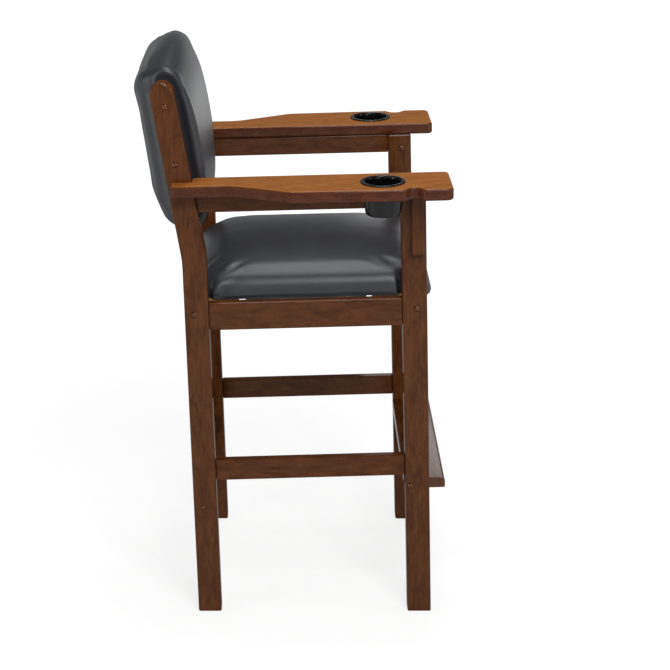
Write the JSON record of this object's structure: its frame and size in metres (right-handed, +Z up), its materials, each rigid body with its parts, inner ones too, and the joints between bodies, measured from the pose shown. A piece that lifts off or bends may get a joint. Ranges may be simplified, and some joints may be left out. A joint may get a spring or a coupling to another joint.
{
  "type": "spectator chair",
  "caption": "Bar-height wooden armchair with padded seat and back, wide arms with drop-in cup holders and cue notches, side stretchers and a footrest board.",
  "frame": {"origin": "on the ground, under the centre of the bounding box", "axes": "+Z up, the sitter faces -Y, +X to the sitter's left"},
  "size_m": [0.743, 0.6844, 1.2589],
  "materials": {
    "stained_hardwood": "dark cherry stain under clear lacquer, gloss",
    "arm_hardwood": "cherry stain under clear lacquer, gloss",
    "plywood": "bare, matt",
    "charcoal_vinyl": "fine grained vinyl, satin",
    "black_plastic": "moulded, gloss",
    "zinc_steel": "zinc plated",
    "copper_steel": "antique copper plated steel, semi-gloss"
  },
  "bodies": {
    "frame": {"arm_bracket_left": "stained_hardwood", "arm_bracket_right": "stained_hardwood", "arm_left": "arm_hardwood", "arm_rail_left": "stained_hardwood", "arm_rail_right": "stained_hardwood", "arm_right": "arm_hardwood", "back_core_board": "plywood", "back_cushion": "charcoal_vinyl", "bracket_screw_left": "copper_steel", "bracket_screw_right": "copper_steel", "footrest_board": "stained_hardwood", "footrest_left_bolt": "copper_steel", "footrest_left_nut": "zinc_steel", "footrest_right_bolt": "copper_steel", "footrest_right_nut": "zinc_steel", "front_corner_block_left": "plywood", "front_corner_block_right": "plywood", "front_corner_screw_left": "zinc_steel", "front_corner_screw_right": "zinc_steel", "front_leg_left": "stained_hardwood", "front_leg_right": "stained_hardwood", "lower_back_left_bolt": "copper_steel", "lower_back_right_bolt": "copper_steel", "lower_rear_left_bolt": "copper_steel", "lower_rear_left_nut": "zinc_steel", "lower_rear_right_bolt": "copper_steel", "lower_rear_right_nut": "zinc_steel", "rear_corner_block_left": "plywood", "rear_corner_block_right": "plywood", "rear_corner_screw_left": "zinc_steel", "rear_corner_screw_right": "zinc_steel", "rear_cross_stretcher": "stained_hardwood", "rear_leg_left": "stained_hardwood", "rear_leg_right": "stained_hardwood", "seat_board": "plywood", "seat_cushion": "charcoal_vinyl", "seat_front_left_bolt": "copper_steel", "seat_front_left_nut": "zinc_steel", "seat_front_rail": "stained_hardwood", "seat_front_right_bolt": "copper_steel", "seat_front_right_nut": "zinc_steel", "seat_rear_left_bolt": "copper_steel", "seat_rear_left_nut": "zinc_steel", "seat_rear_rail": "stained_hardwood", "seat_rear_right_bolt": "copper_steel", "seat_rear_right_nut": "zinc_steel", "seat_side_rail_left": "stained_hardwood", "seat_side_rail_right": "stained_hardwood", "side_stretcher_left": "stained_hardwood", "side_stretcher_right": "stained_hardwood", "upper_back_left_bolt": "copper_steel", "upper_back_right_bolt": "copper_steel"},
    "cup_right": {"cup_holder_right": "black_plastic"},
    "cup_left": {"cup_holder_left": "black_plastic"}
  },
  "joints": [
    {"name": "cup_lift_right", "type": "slide", "parent": "frame", "child": "cup_right", "axis": [0, 0.0326, 0.9995], "range_m": [0, 0.08]},
    {"name": "cup_lift_left", "type": "slide", "parent": "frame", "child": "cup_left", "axis": [0, 0.0326, 0.9995], "range_m": [0, 0.08]}
  ]
}
